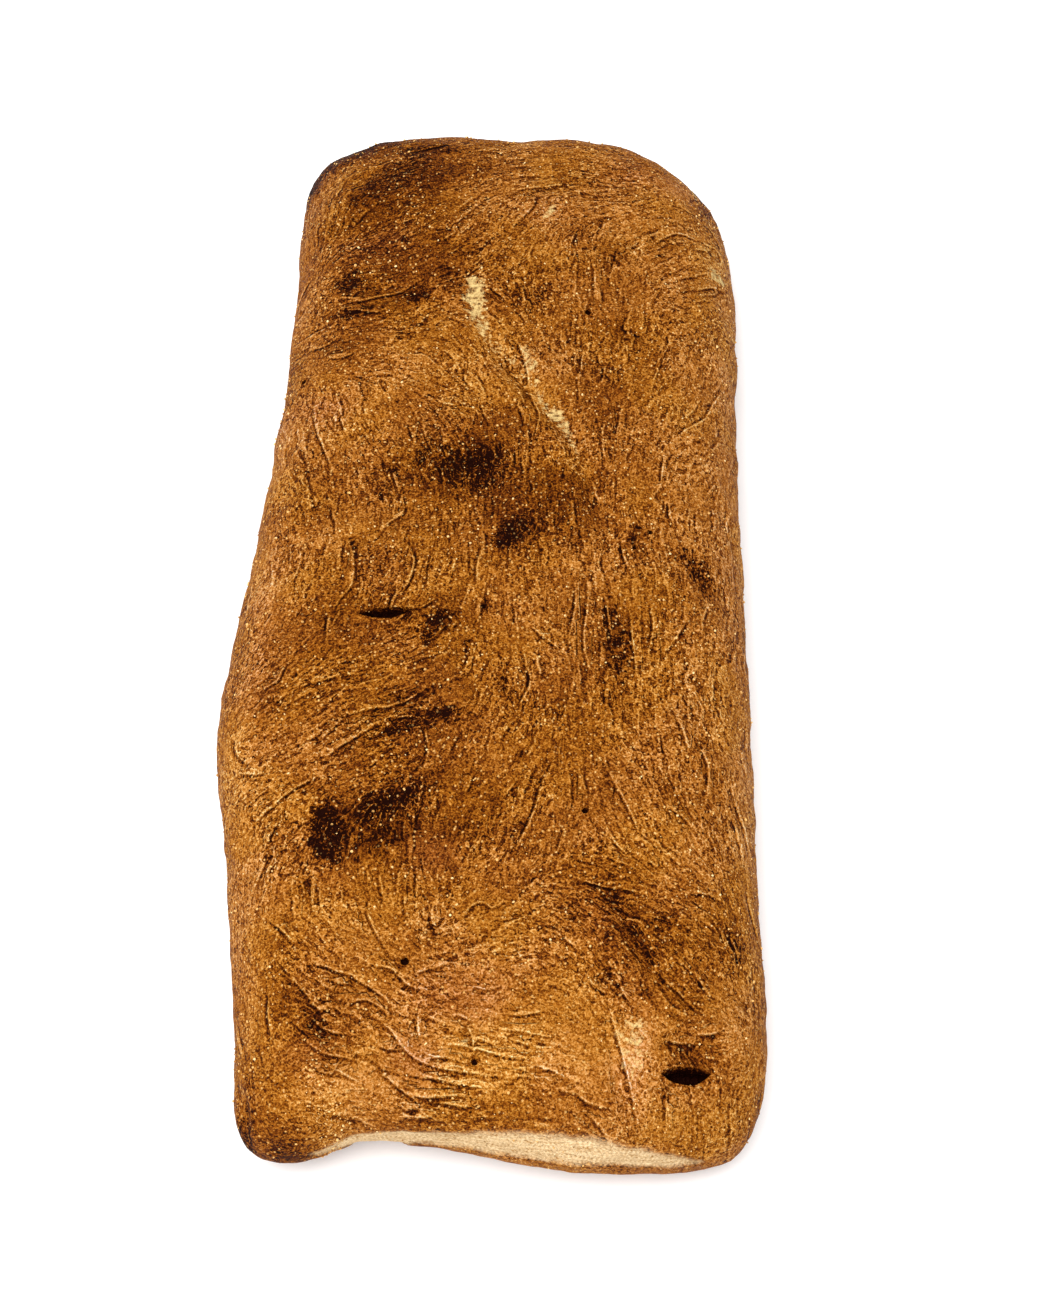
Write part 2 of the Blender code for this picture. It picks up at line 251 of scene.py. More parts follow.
# Where semolina lies thick: (x, y, half length, half width, share above the usual).
SEMOLINA_DRIFTS = (
    (-28, 52, 22, 16, 1.8), (-20, 98, 30, 14, 0.9), (50, -40, 9, 40, 1.8), (-35, -139, 6.5, 2.2, -68, 45),
    (-33, -144, 3, 3, 25), (-4, 26, 10, 9, 1.5), (44, 20, 14, 40, 0.8), (-55, 30, 6, 60, 1),
    (20, 70, 20, 16, 1), (52, -96, 8, 16, 1.4), (-52, -60, 6, 50, 1.2), (40, -140, 20, 8, 1.2),
    (-55, -132, 5, 12, 1.5), (0, -30, 16, 12, 0.6), (48, 118, 14, 12, 0.6),
)


class CrustSettings(bpy.types.PropertyGroup):
    """How the skin of the loaf is cut, swollen and coloured."""

    cell: FloatProperty(
        name="Cell", description="Side of the skin's mesh cells",
        default=0.93 * MM, min=0.5 * MM, unit="LENGTH",
    )
    swell: FloatProperty(
        name="Swell", description="Height of the crust's uneven swelling",
        default=0.75 * MM, min=0, unit="LENGTH",
    )
    pucker: FloatProperty(
        name="Pucker", description="Height of its small puckers", default=0.28 * MM, min=0, unit="LENGTH"
    )
    wrinkle: FloatProperty(
        name="Wrinkle", description="Height of its wrinkles", default=0.20 * MM, min=0, unit="LENGTH"
    )
    fine_wrinkles: IntProperty(
        name="Fine wrinkles", description="How many small wrinkles lie between the main ones",
        default=900, min=0,
    )
    bake: FloatProperty(
        name="Bake", description="Tone of the plain crust, from black at 0 to cream at 1",
        default=0.364, min=0, max=1,
    )
    # The tint of the painted sheen, where light glances off the crust.
    rose: FloatVectorProperty(
        name="Painted sheen", description="Tint of the painted rosy sheen", subtype="COLOR", size=3, min=0, max=3,
        default=(1.04, 0.98, 2.1),
    )
    # Also the colour of the painted highlights along the far right rim and on the swell beside the near
    # slit.
    cream: FloatVectorProperty(
        name="Cream", description="Colour of unbrowned dough", subtype="COLOR", size=3, min=0, max=1,
        default=(0.69, 0.48, 0.19),
    )
    dough: FloatVectorProperty(
        name="Dough", description="Colour of the torn seam", subtype="COLOR", size=3, min=0, max=1,
        default=(0.82, 0.60, 0.34),
    )
    dust: FloatVectorProperty(
        name="Meal", description="Colour of the meal sunk in the crust",
        subtype="COLOR", size=3, min=0, max=1,
        default=(0.66, 0.35, 0.10),
    )


class SemolinaSettings(bpy.types.PropertyGroup):
    """How the loaf is dusted."""

    count: IntProperty(
        name="Grains", description="How many grains stick to the crust",
        default=5600, min=1,
    )
    smallest: FloatProperty(
        name="Smallest", description="Width of the smallest grain",
        default=0.24 * MM, min=0, unit="LENGTH",
    )
    largest: FloatProperty(
        name="Largest", description="Width of the largest grain", default=0.92 * MM, min=0, unit="LENGTH"
    )
    colour: FloatVectorProperty(
        name="Colour", description="Colour of a clean grain", subtype="COLOR", size=3, min=0, max=1,
        default=(0.80, 0.47, 0.15),
    )


class StudioSettings(bpy.types.PropertyGroup):
    """The floor, the lights and the camera."""

    floor_size: FloatProperty(
        name="Floor", description="Side of the floor",
        default=3.0, min=0.5, unit="LENGTH",
    )
    floor_tone: FloatProperty(
        name="Floor tone", description="Lightness of the floor",
        default=0.93, min=0, max=1,
    )
    floor_glow: FloatProperty(
        name="Floor glow", description="Light that the floor gives off",
        default=0.12, min=0,
    )
    sky: FloatProperty(
        name="Sky", description="Strength of the light from all round",
        default=0.60, min=0,
    )
    key: FloatProperty(
        name="Key light", description="Power of the big soft light",
        default=30.0, min=0, unit="POWER",
    )
    lens: FloatProperty(name="Lens", description="Focal length", default=0.07081, min=0.01, unit="CAMERA")
    camera_tilt: FloatProperty(
        name="Tilt", description="How far the camera looks down",
        default=math.radians(59.18), subtype="ANGLE",
    )
    camera_turn: FloatProperty(
        name="Turn", description="How far the camera turns to the right",
        default=math.radians(0.36), subtype="ANGLE",
    )
    camera_roll: FloatProperty(
        name="Roll", description="How far the camera leans to its left",
        default=math.radians(0.60), subtype="ANGLE",
    )
    camera_place: FloatVectorProperty(
        name="Place", description="Where the camera stands",
        default=(0.0058, -0.3427, 0.5662), subtype="TRANSLATION",
        unit="LENGTH", size=3,
    )


# ---- Places on the loaf


def patches(x, y, spots, whole=1):
    """The summed strength, at each point, of soft elliptical spots, as a share of the whole."""
    total = np.zeros_like(x)
    for spot_x, spot_y, half_length, half_width, *turn, strength in spots:
        along, across = turned(x - spot_x, y - spot_y, math.radians(sum(turn)))
        total += strength / whole * np.exp(-((along / half_length) ** 2) - (across / half_width) ** 2)
    return total


def turned(x, y, angle):
    """x and y measured along and across a direction at this angle."""
    return x * math.cos(angle) + y * math.sin(angle), y * math.cos(angle) - x * math.sin(angle)


def smooth_path(path, step=1.5):
    """The path as a smooth curve through its points, a step apart."""
    points = [*np.reshape(np.array(path, float), (-1, 2))]
    padded = [2 * points[0] - points[1], *points, 2 * points[-1] - points[-2]]
    curve = []
    for before, start, end, after in zip(padded, padded[1:], padded[2:], padded[3:]):
        count = max(1, round(float(np.linalg.norm(end - start)) / step))
        for t in np.arange(count) / count:
            bend = (2 * before - 5 * start + 4 * end - after) * t**2
            twist = (3 * start - before - 3 * end + after) * t**3
            curve.append(0.5 * (2 * start + (end - before) * t + bend + twist))
    return np.array([*curve, points[-1]])


def beside(x, y, path):
    """How far each point lies from the path, above zero on its left, and how far along it, from 0 to 1."""
    steps = np.linalg.norm(np.diff(path, axis=0), axis=1)
    reached = np.concatenate([[0], np.cumsum(steps)])
    nearest = np.full(len(x), np.inf)
    side, share = np.zeros(len(x)), np.zeros(len(x))
    for (start_x, start_y), (end_x, end_y), length, before in zip(path, path[1:], steps, reached):
        dx, dy = (end_x - start_x) / length, (end_y - start_y) / length
        along = np.clip((x - start_x) * dx + (y - start_y) * dy, 0, length)
        off_x, off_y = x - start_x - along * dx, y - start_y - along * dy
        apart = np.hypot(off_x, off_y)
        closer = apart < nearest
        nearest = np.where(closer, apart, nearest)
        side = np.where(closer, np.copysign(apart, dx * off_y - dy * off_x), side)
        share = np.where(closer, (before + along) / reached[-1], share)
    return side, share


def near_path(x, y, path, reach):
    """The numbers of the points within reach of the path's box."""
    low, high = path.min(axis=0) - reach, path.max(axis=0) + reach
    return np.nonzero((x > low[0]) & (x < high[0]) & (y > low[1]) & (y < high[1]))[0]


def step_up(values, low, high):
    """0 below low, 1 above high, and smooth between."""
    share = np.clip((values - low) / (high - low), 0, 1)
    return share * share * (3 - 2 * share)


def rough(points, scale, octaves=2, seed=0):
    """Smooth random heights, about -1 to 1, for points in millimetres."""
    shift = Vector((seed * 17.3, seed * 5.1, seed * 9.7))
    return np.array([noise.fractal(Vector(point) * scale + shift, 0.7, 2.1, octaves) for point in points])


# ---- The way the skin was stretched

LIE_REACH = 13.0  # how far a wrinkle turns the skin round it
EDGE_REACH = 9.0  # how far in from the rim the skin follows the rim
END_Y = 145  # where the rims of the two ends are, either way from the middle
FINE_STEP = 1.5  # the length of one step of a small wrinkle
FINE_STEPS = (3, 9)  # the fewest and the most steps that a small wrinkle takes
WRINKLE_REACH = 2.6  # how far beside its line a wrinkle still shows


def rims(y):
    """Roughly where the loaf's left and right rims are."""
    left = np.interp(y, (-150, -120, -45, 0, 75, 150), (-57, -59, -67, -60, -54, -51))
    right = np.interp(y, (-150, -120, -60, 120, 150), (58, 66, 64, 66, 58))
    return left, right


def lie_of(x, y, guides):
    """The way the skin lies at each point, as the cosine and sine of twice its angle from the x axis."""
    total = np.zeros((len(x), 2))
    for centre, angle in guides:
        pull = np.exp(-((x - centre[0]) ** 2 + (y - centre[1]) ** 2) / LIE_REACH**2)
        total += np.outer(pull, (math.cos(2 * angle), math.sin(2 * angle)))
    left, right = rims(y)
    beside_rim = np.exp(-(((x - left) / EDGE_REACH) ** 2)) + np.exp(-(((x - right) / EDGE_REACH) ** 2))
    beside_end = np.exp(-(((END_Y - np.abs(y)) / EDGE_REACH) ** 2))
    wander = np.array([noise.noise(Vector((a * 0.03, b * 0.02, 5.0))) for a, b in zip(x, y)]) * 1.6
    lengthwise = math.pi / 2 + wander
    lengthwise = np.where(y < -100, lengthwise * step_up(y, -125, -100) + 0.2 * wander, lengthwise)
    total[:, 0] += 0.10 * np.cos(2 * lengthwise) - 1.5 * beside_rim + 1.5 * beside_end
    total[:, 1] += 0.10 * np.sin(2 * lengthwise)
    return total / np.maximum(np.linalg.norm(total, axis=1), 1e-6)[:, None]


def wrinkle_guides():
    """The middle and the angle of each stretch of each main wrinkle."""
    guides = []
    for points in WRINKLES:
        path = smooth_path(points, 4)
        for start, end in zip(path, path[1:]):
            angle = math.atan2(end[1] - start[1], end[0] - start[0])
            guides.append(((start + end) / 2, angle))
    return guides


def fine_paths(count, guides):
    """Small wrinkles between the main ones, each following the way the skin lies."""
    random = np.random.default_rng(SEED)
    x, y = random.uniform(-62, 64, count), random.uniform(-144, 142, count)
    heading = random.uniform(0, 2 * math.pi, count)
    paths = [np.stack([x, y], axis=1)]
    for _ in range(FINE_STEPS[1]):
        lie = lie_of(x, y, guides)
        angle = 0.5 * np.arctan2(lie[:, 1], lie[:, 0])
        facing = np.cos(angle - heading) < 0
        heading = angle + np.where(facing, math.pi, 0) + random.normal(0, 0.22, count)
        x, y = x + FINE_STEP * np.cos(heading), y + FINE_STEP * np.sin(heading)
        paths.append(np.stack([x, y], axis=1))
    tracks = np.stack(paths, axis=1)
    lengths = random.integers(*FINE_STEPS, count, endpoint=True)
    strengths = random.uniform(0.25, 0.8, count)
    return [(track[: length + 1], strength) for track, length, strength in zip(tracks, lengths, strengths)]


# ---- The skin's mesh


def choose_only(piece):
    """Makes a piece the active one and the only one selected."""
    bpy.ops.object.select_all(action="DESELECT")
    piece.select_set(True)
    bpy.context.view_layer.objects.active = piece


def finish_modifier(kind, **settings):
    """Adds a modifier to the active piece and applies it."""
    bpy.ops.object.modifier_add(type=kind)
    modifier = bpy.context.object.modifiers[-1]
    for name, value in settings.items():
        setattr(modifier, name, value)
    bpy.ops.object.modifier_apply(modifier=modifier.name)


def solid_copy(node, name):
    """A copy of a solid as one welded surface of its own."""
    copy = bpy.data.objects.new(name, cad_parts[node].data.copy())
    bpy.context.scene.collection.objects.link(copy)
    copy.data.materials.clear()
    choose_only(copy)
    bpy.ops.object.mode_set(mode="EDIT")
    bpy.ops.mesh.select_all(action="SELECT")
    bpy.ops.mesh.remove_doubles(threshold=1e-6)
    bpy.ops.mesh.normals_make_consistent(inside=False)
    bpy.ops.object.mode_set(mode="OBJECT")
    return copy


def read(parts, name, width=3):
    """A value, or a row of them, from each of a mesh's points or faces."""
    values = np.empty(len(parts) * width, np.float32)
    parts.foreach_get(name, values)
    return values.astype(float).reshape(-1, width)


def thin_out_base(piece, kept):
    """Keeps only this share of the flat base's points, which lie out of sight."""
    points = read(piece.data.vertices, "co") / MM
    base = np.nonzero(points[:, 2] < BASE_TOP)[0]
    group = piece.vertex_groups.new(name="base")
    group.add(base.tolist(), 1.0, "REPLACE")
    ratio = 1 - (1 - kept) * len(base) / len(points)
    finish_modifier("DECIMATE", ratio=ratio, vertex_group="base", use_collapse_triangulate=False)
    piece.vertex_groups.clear()


def refine(piece, wanted, times):
    """Splits the faces whose middles are wanted, so that a small shape has points enough."""
    for _ in range(times):
        chosen = wanted(read(piece.data.polygons, "center") / MM)
        choose_only(piece)
        bpy.ops.object.mode_set(mode="EDIT")
        bpy.ops.mesh.select_mode(type="FACE")
        bpy.ops.mesh.select_all(action="DESELECT")
        bpy.ops.object.mode_set(mode="OBJECT")
        piece.data.polygons.foreach_set("select", chosen)
        bpy.ops.object.mode_set(mode="EDIT")
        bpy.ops.mesh.subdivide(number_cuts=1)
        bpy.ops.object.mode_set(mode="OBJECT")


def by_a_tear(centres):
    """Which places on the top are beside a slit or a prick."""
    x, y, z = centres.T
    near = np.zeros(len(x), bool)
    for slit_x, slit_y, half_length, half_width, turn, _ in SLITS:
        along, across = turned(x - slit_x, y - slit_y, math.radians(turn))
        near |= (np.abs(along) < half_length + 1.2) & (np.abs(across) < half_width + 1.6)
    for prick_x, prick_y, radius in PRICKS:
        near |= np.hypot(x - prick_x, y - prick_y) < radius + 0.9
    return near & (z > TOP_RISE[0])


def furrow_rise(x, y):
    """The depth of the broad furrows, with their lips."""
    rise = np.zeros_like(x)
    for points, half_width, depth, left_lip, right_lip in FURROWS:
        path = smooth_path(points)
        chosen = near_path(x, y, path, 4 * half_width)
        side, share = beside(x[chosen], y[chosen], path)
        taper = np.sin(math.pi * np.clip(share, 0.02, 0.98)) ** 0.6
        off = side / half_width
        lip = np.where(side > 0, left_lip, right_lip) * np.exp(-((np.abs(off) - 1.7) ** 2) / 0.5)
        rise[chosen] += taper * (lip - depth * np.exp(-(off**2) * 1.4))
    return rise


def tear_rise(x, y):
    """How deep the slits and pricks go, how high their lips stand, and how open they are."""
    rise, openness = np.zeros_like(x), np.zeros_like(x)
    ragged = 1 + 0.16 * rough(np.column_stack([x, y, 0 * x]), 0.3, 1, 21)
    for slit_x, slit_y, half_length, half_width, turn, depth in SLITS:
        along, across = turned(x - slit_x, y - slit_y, math.radians(turn))
        reach = half_width * np.where(across > 0, 0.65, 1.25) * ragged
        apart = np.abs(along / half_length) ** 2.6 + np.abs(across) / reach
        inside = step_up(1.1 - apart, 0.0, 0.45)
        rise += 0.45 * np.exp(-((apart - 1.35) ** 2) / 0.08) * (across > 0) * (np.abs(along) < half_length)
        rise -= depth * inside
        openness = np.maximum(openness, step_up(1.15 - apart, 0.0, 0.35))
    for prick_x, prick_y, radius in PRICKS:
        apart = np.hypot(x - prick_x, y - prick_y) / radius
        rise -= 1.3 * step_up(1.2 - apart, 0.0, 0.6)
        rise += 0.15 * np.exp(-((apart - 1.6) ** 2) / 0.12)
        openness = np.maximum(openness, step_up(1.15 - apart, 0.0, 0.4))
    return rise, openness


def wrinkle_marks(x, y, above, paths):
    """For each point: how far it is beside its strongest wrinkle, and how strong that is there."""
    side, depth = np.full(len(x), 3.0), np.zeros(len(x))
    pull = np.zeros(len(x))
    for path, strength in paths:
        chosen = near_path(x, y, path, WRINKLE_REACH)
        chosen = chosen[above[chosen] > 0.05]
        if not len(chosen):
            continue
        off, share = beside(x[chosen], y[chosen], path)
        fade = strength * np.sin(math.pi * np.clip(share, 0.0, 1.0)) ** 0.7 * above[chosen]
        fade *= step_up(WRINKLE_REACH - np.abs(off), 0.0, 0.9)
        here = fade * np.exp(-(off**2) / 1.4)
        stronger = here > pull[chosen]
        chosen = chosen[stronger]
        pull[chosen], side[chosen], depth[chosen] = here[stronger], off[stronger], fade[stronger]
    return side, depth


def seam_mask(points):
    """1 on the pale seam of the near end."""
    x, y, z = points.T
    place, low, high = np.array(SEAM, float).T
    uneven = 0.7 * rough(points * (1, 0, 1), 0.22, 2, 8)
    lower, upper = np.interp(x, place, low) + uneven, np.interp(x, place, high) + uneven
    mask = step_up(z, lower - 0.6, lower + 0.6) * (1 - step_up(z, upper - 1.4, upper + 1.4))
    return mask * (y < SEAM_RIM_Y) * (x > place[0]) * (x < place[-1])


def crease_mask(x, y):
    """How pale the skin is along the long crease."""
    pale = np.zeros_like(x)
    for stroke in CREASE:
        route = np.array(stroke, float)
        path = smooth_path(route[:, :2])
        chosen = near_path(x, y, path, 5.0)
        side, share = beside(x[chosen], y[chosen], path)
        places = np.linspace(0, 1, len(route))
        wide, strong = np.interp(share, places, route[:, 2]), np.interp(share, places, route[:, 3])
        wide = wide * (1.0 + 0.35 * rough(np.column_stack([x, y, 0 * x])[chosen], 0.6, 2, 12))
        here = strong * np.exp(-(np.abs(side / wide) ** 2.6))
        pale[chosen] = np.maximum(pale[chosen], here)
    return pale


def keep(mesh, name, values, kind="FLOAT"):
    """Stores one value for each point of the mesh under a name."""
    attribute = mesh.attributes.new(name, kind, "POINT")
    flat = np.ascontiguousarray(values, np.float32).ravel()
    attribute.data.foreach_set("value" if kind == "FLOAT" else "vector", flat)


def shape_skin(piece, settings):
    """Moves the skin's points into swells, puckers, furrows, wrinkles and tears, and marks their places."""
    mesh = piece.data
    points, normals = read(mesh.vertices, "co") / MM, read(mesh.vertex_normals, "vector")
    x, y, z = points.T
    above, on_top = step_up(z, *SIDE_RISE), step_up(z, *TOP_RISE)
    guides = wrinkle_guides()
    fine = fine_paths(settings.fine_wrinkles, guides)
    marked = [(smooth_path(path), 1.0) for path in WRINKLES] + fine
    side, depth = wrinkle_marks(x, y, above, marked)
    torn, openness = tear_rise(x, y)
    torn, openness = torn * on_top, openness * on_top
    seam = seam_mask(points)

    swell = settings.swell / MM * rough(points, 0.036, 3, 1)
    pucker = settings.pucker / MM * (rough(points, 0.13, 2, 2) + 0.5 * rough(points, 0.33, 2, 3))
    ridge = np.exp(-(((side - 0.7) / 0.8) ** 2)) - np.exp(-(((side + 0.2) / 0.7) ** 2))
    ridge = settings.wrinkle / MM * depth * ridge
    rise = (swell + pucker) * above + patches(x, y, SWELLS) * above + furrow_rise(x, y) * on_top + ridge
    rise += 0.5 * (1 - above) * step_up(z, 1.0, 4.0) * rough(points, 0.09, 2, 4) - 0.7 * seam
    moved = points + normals * (rise * (1 - openness))[:, None]
    moved[:, 2] += torn
    floor = z < BASE_TOP
    moved[floor] = points[floor]
    moved[:, 2] = np.maximum(moved[:, 2], 0.0)
    mesh.vertices.foreach_set("co", (moved * MM).astype(np.float32).ravel())
    mesh.update()

    # Pale dough, with painted highlights on the far right rim and on the swell beside the near slit.
    cream = np.clip((patches(x, y, PALE_DOUGH_AND_HIGHLIGHT_SPOTS) + crease_mask(x, y)) * on_top, 0, 1)
    lie = lie_of(x, y, guides)
    crosswise = np.clip(cream * 1.5 + seam, 0, 1)[:, None]
    lie = lie * (1 - crosswise) + np.array([1.0, 0.0]) * crosswise
    keep(mesh, "wrinkle_side", side)
    keep(mesh, "wrinkle_depth", depth)
    keep(mesh, "char", np.clip(patches(x, y, CHARS, PERCENT), 0, 1.5) * above)
    keep(mesh, "tear", openness)
    # Browning, with painted highlights along the rims, at the near end and on the swell beside the near
    # slit.
    keep(mesh, "browning", patches(x, y, BROWNINGS_AND_PAINTED_LIGHT, PERCENT) * above)
    # Where the rosy sheen is painted.
    keep(mesh, "rose", np.clip(patches(x, y, PAINTED_SHEEN_SPOTS), 0, 1) * above)
    keep(mesh, "cream", cream)
    keep(mesh, "seam", seam)
    keep(mesh, "lie", np.column_stack([lie, np.zeros(len(x))]), "FLOAT_VECTOR")


# ---- Finishes


class Value:
    """A node's output. Arithmetic on it adds Math nodes to its finish."""

    def __init__(self, finish, socket):
        self.finish, self.socket = finish, socket

    def math(self, operation, *terms, clamp=False):
        return self.finish.node(
            "ShaderNodeMath", {"operation": operation, "use_clamp": clamp}, dict(enumerate(terms))
        )

    def __add__(self, other):
        return self.math("ADD", self, other)

    def __sub__(self, other):
        return self.math("SUBTRACT", self, other)

    def __rsub__(self, other):
        return self.math("SUBTRACT", other, self)

    def __mul__(self, other):
        return self.math("MULTIPLY", self, other)

    def __truediv__(self, other):
        return self.math("DIVIDE", self, other)

    def __neg__(self):
        return self.math("MULTIPLY", self, -1.0)

    __radd__, __rmul__ = __add__, __mul__

    def clamped(self):
        return self.math("ADD", self, 0.0, clamp=True)

    def between(self, low, high):
        """0 at low, 1 at high and smooth between."""
        return self.finish.node(
            "ShaderNodeMapRange", {"interpolation_type": "SMOOTHSTEP"},
            {"Value": self, "From Min": low, "From Max": high},
        )


class Finish:
    """A material and the nodes that make it."""

    def __init__(self, name):
        self.material = bpy.data.materials.new(name)
        self.material.use_nodes = True
        self.tree = self.material.node_tree
        self.tree.nodes.clear()

    def node(self, kind, settings=None, inputs=None, output=0):
        """Adds a node: its settings come first, then the values or links of its sockets."""
        added = self.tree.nodes.new(kind)
        for name, value in (settings or {}).items():
            if name == "stops":
                self.set_stops(added.color_ramp, value)
            else:
                setattr(added, name, value)
        for name, value in (inputs or {}).items():
            if isinstance(value, Value):
                self.tree.links.new(value.socket, added.inputs[name])
            else:
                added.inputs[name].default_value = value
        return Value(self, added.outputs[output])

    @staticmethod
    def set_stops(ramp, stops):
        while len(ramp.elements) < len(stops):
            ramp.elements.new(1.0)
        for element, (place, colour) in zip(ramp.elements, stops):
            element.position, element.color = place, (*colour, 1.0)

    def attribute(self, name, output="Fac"):
        return self.node("ShaderNodeAttribute", {"attribute_name": name}, output=output)

    def grain(self, place, pitch, detail=0.0, roughness=0.5, output=0):
        """Smooth noise about 0.5 whose features are a pitch apart, in millimetres."""
        return self.node(
            "ShaderNodeTexNoise", None,
            {"Vector": place, "Scale": 1.0 / pitch, "Detail": detail, "Roughness": roughness}, output,
        )

    def mix(self, share, first, second, blend="MIX"):
        """One colour turned into another by a share."""
        return self.node(
            "ShaderNodeMix", {"data_type": "RGBA", "blend_type": blend}, {0: share, 6: first, 7: second}, 2
        )

    def shine(self, colour, roughness, normal, specular, glow=0.0):
        """Ends the finish in a Principled shader."""
        surface = self.node(
            "ShaderNodeBsdfPrincipled", None,
            {"Base Color": colour, "Roughness": roughness, "Metallic": 0.0, "Normal": normal,
             "Specular IOR Level": specular, "Emission Color": (1.0, 1.0, 1.0, 1.0),
             "Emission Strength": glow},
        )
        output = self.tree.nodes.new("ShaderNodeOutputMaterial")
        self.tree.links.new(surface.socket, output.inputs["Surface"])


# The bake's tones, from char to cream.
BAKE_STOPS = (
    (0.00, (0.010, 0.0016, 0.0006)),
    (0.16, (0.060, 0.0110, 0.0013)),
    (0.25, (0.120, 0.0280, 0.0022)),
    (0.33, (0.188, 0.0490, 0.0034)),
    (0.39, (0.250, 0.0740, 0.0060)),
    (0.46, (0.325, 0.1080, 0.0115)),
    (0.52, (0.400, 0.1480, 0.0215)),
    (0.60, (0.485, 0.2000, 0.0450)),
    (0.69, (0.605, 0.2770, 0.0810)),
    (0.82, (0.730, 0.4200, 0.1700)),
    (1.00, (0.850, 0.6800, 0.4200)),
)
GOLDEN_TINT = (1.0, 1.01, 0.73, 1.0)
PALE_SHADOW = (0.34, 0.190, 0.060, 1.0)
CRUMB_SHADOW = (0.38, 0.190, 0.055, 1.0)


def fibres(finish, place, along, pitch, reach, count):
    """Fine lines along the way the skin lies: one noise, averaged over places a reach apart."""
    total = None
    for i in range(count):
        offset = (i / (count - 1) - 0.5) * reach
        spot = finish.node(
            "ShaderNodeVectorMath", {"operation": "MULTIPLY_ADD"}, {0: along, 1: (offset,) * 3, 2: place}
        )
        total = finish.grain(spot, pitch) if total is None else total + finish.grain(spot, pitch)
    return (total / count - 0.5) * (3.2 * math.sqrt(count / 5))


def crumbs(finish, place, pitch, share):
    """Specks of meal sunk in the skin: a round one in some of the cells of a Voronoi pattern."""
    cells = {"Vector": place, "Scale": 1.0 / pitch}
    apart = finish.node("ShaderNodeTexVoronoi", None, cells)
    pick = finish.node("ShaderNodeTexVoronoi", None, cells, "Color") * 1.0
    return (1.0 - apart.between(0.14, 0.30)) * pick.between(share, share + 0.04)


def skin_patterns(finish):
    """The patterns that the crust's colours and its relief share, most of them about 0."""
    at = finish.node("ShaderNodeTexCoord", output="Object")
    place = finish.node("ShaderNodeVectorMath", {"operation": "SCALE"}, {0: at, "Scale": 1.0 / MM})
    lie = finish.node("ShaderNodeSeparateXYZ", None, {0: finish.attribute("lie", "Vector")})
    lie_sine = Value(finish, lie.socket.node.outputs[1])
    angle = lie.math("ARCTAN2", lie_sine, lie) * 0.5
    along = finish.node(
        "ShaderNodeCombineXYZ", None, {0: angle.math("COSINE", angle), 1: angle.math("SINE", angle)}
    )
    weave = fibres(finish, place, along, 1.0, 1.4, 3)
    curl = (finish.grain(place, 1.45, 1.0, 0.4) - 0.5) * 3.2
    return SimpleNamespace(
        place=place,
        fine=fibres(finish, place, along, 0.85, 3.2, 6),
        coarse=fibres(finish, place, along, 2.3, 7.0, 6),
        drawn=fibres(finish, place, along, 0.75, 5.0, 6),
        weave=weave,
        # Thread and squiggle are each a light line with a dark line beside it, an embossed look: in the
        # colour this is painted highlight and shade, in the relief a bump.
        thread=profile(weave, 0.06, 0.15) - profile(weave, -0.22, 0.13),
        curl=curl,
        squiggle=profile(curl, 0.05, 0.12) - profile(curl, -0.17, 0.10),
        speckle=(finish.grain(place, 0.52, 1.0, 0.8) - 0.5) * 4.0,
        pit=1.0 - finish.grain(place, 1.2, 1.0, 0.7).between(0.26, 0.38),
        mottle=(finish.grain(place, 2.6, 2.0, 0.6) - 0.5) * 3.4,
        fibrous=finish.grain(place, 19.0, 1.0).between(0.32, 0.66) * 0.75 + 0.25,
        meal=crumbs(finish, place, 1.25, 0.60),
    )


def skin_marks(finish, skin):
    """What was marked on the skin as it was shaped, with char whose edge the patterns break up."""
    names = ("wrinkle_side", "wrinkle_depth", "char", "tear", "browning", "rose", "cream", "seam")
    marks = SimpleNamespace(**{name: finish.attribute(name) for name in names})
    # In the relief the groove and the ridge are shapes; in the colour they are painted shade in the groove
    # and a painted highlight on the ridge.
    marks.groove = marks.wrinkle_depth * profile(marks.wrinkle_side, -0.24, 0.30)
    marks.ridge = marks.wrinkle_depth * profile(marks.wrinkle_side, 0.34, 0.27)
    broken = skin.mottle * 0.36 + skin.curl * 0.76 + skin.weave * 0.62 + skin.speckle * 0.32
    broken = broken * marks.char.between(0.02, 0.4) * (1.0 - marks.char.between(0.9, 1.6) * 0.70)
    marks.singed = (marks.char * 1.15 + broken).between(0.34, 0.68)
    marks.charred = (marks.char + broken * 0.5).between(0.70, 1.20)
    return marks


